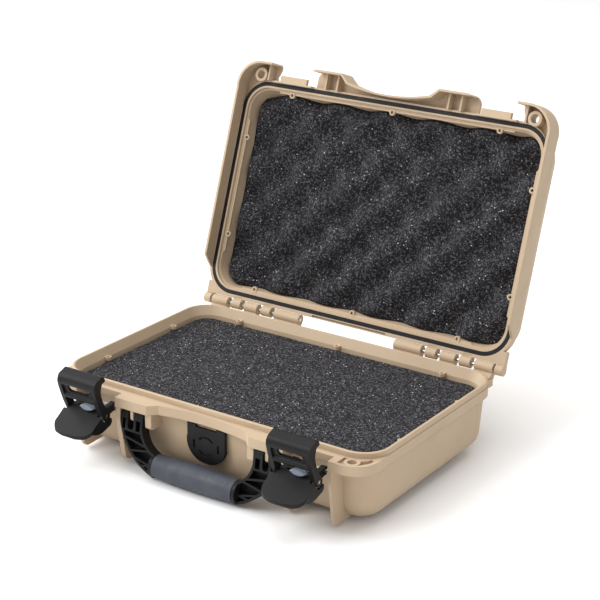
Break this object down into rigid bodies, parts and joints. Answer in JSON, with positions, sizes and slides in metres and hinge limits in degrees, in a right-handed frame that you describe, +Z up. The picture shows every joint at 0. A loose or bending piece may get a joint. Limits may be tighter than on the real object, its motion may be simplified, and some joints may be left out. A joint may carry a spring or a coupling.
{
  "type": "hard equipment case",
  "caption": "Hard plastic equipment case with hinged lid, claw latches, folding handle, seal and foam, shown open.",
  "frame": {"origin": "centre of the flat panel on the underside", "axes": "+X to the right seen from the front, -Y to the front, +Z up; the long way is Y because the lid stands open"},
  "size_m": [0.3138, 0.3526, 0.2792],
  "materials": {
    "tan_plastic": "matte",
    "black_plastic": "satin",
    "grey_rubber": "matte",
    "black_rubber": "matte",
    "foam_grey": "matte",
    "slide_grey": "satin",
    "pin_steel": "satin",
    "membrane_white": "matte"
  },
  "bodies": {
    "base": {"base_shell": "tan_plastic", "base_foam_pad": "foam_grey", "base_foam_block": "foam_grey", "vent_badge": "black_plastic", "vent_body": "black_plastic", "vent_membrane": "membrane_white", "vent_nut": "black_plastic", "hinge_pin_left": "pin_steel", "hinge_pin_right": "pin_steel", "handle_pin_left": "pin_steel", "handle_pin_right": "pin_steel", "lever_pin_left": "pin_steel", "lever_pin_right": "pin_steel"},
    "lid": {"lid_shell": "tan_plastic", "lid_gasket": "black_rubber", "lid_foam": "foam_grey"},
    "handle": {"handle_frame": "black_plastic", "handle_grip": "grey_rubber"},
    "lever_left": {"latch_lever_left": "black_plastic", "claw_pin_left": "pin_steel"},
    "claw_left": {"latch_claw_left": "black_plastic"},
    "slide_left": {"slide_lock_left": "slide_grey"},
    "lever_right": {"latch_lever_right": "black_plastic", "claw_pin_right": "pin_steel"},
    "claw_right": {"latch_claw_right": "black_plastic"},
    "slide_right": {"slide_lock_right": "slide_grey"}
  },
  "joints": [
    {"name": "lid_hinge", "type": "hinge", "parent": "base", "child": "lid", "pos_m": [0, 0.10586, 0.06624], "axis": [1, 0, 0], "range_deg": [0, 109]},
    {"name": "handle_swing", "type": "hinge", "parent": "base", "child": "handle", "pos_m": [0, -0.107, 0.0475], "axis": [1, 0, 0], "range_deg": [-78, 3]},
    {"name": "lever_left_turn", "type": "hinge", "parent": "base", "child": "lever_left", "pos_m": [-0.102, -0.1065, 0.049], "axis": [1, 0, 0], "range_deg": [-10, 55]},
    {"name": "claw_left_turn", "type": "hinge", "parent": "lever_left", "child": "claw_left", "pos_m": [-0.102, -0.1215, 0.0465], "axis": [1, 0, 0], "range_deg": [-75, 13.64]},
    {"name": "slide_left_lock", "type": "slide", "parent": "lever_left", "child": "slide_left", "axis": [-1, 0, 0], "range_m": [0, 0.009]},
    {"name": "lever_right_turn", "type": "hinge", "parent": "base", "child": "lever_right", "pos_m": [0.102, -0.1065, 0.049], "axis": [1, 0, 0], "range_deg": [-10, 55]},
    {"name": "claw_right_turn", "type": "hinge", "parent": "lever_right", "child": "claw_right", "pos_m": [0.102, -0.1215, 0.0465], "axis": [1, 0, 0], "range_deg": [-75, 13.64]},
    {"name": "slide_right_lock", "type": "slide", "parent": "lever_right", "child": "slide_right", "axis": [-1, 0, 0], "range_m": [0, 0.009]}
  ],
  "couplings": [
    {"joint": "claw_left_turn", "follows": "lever_left_turn", "ratio": -1.3636},
    {"joint": "claw_right_turn", "follows": "lever_right_turn", "ratio": -1.3636}
  ]
}
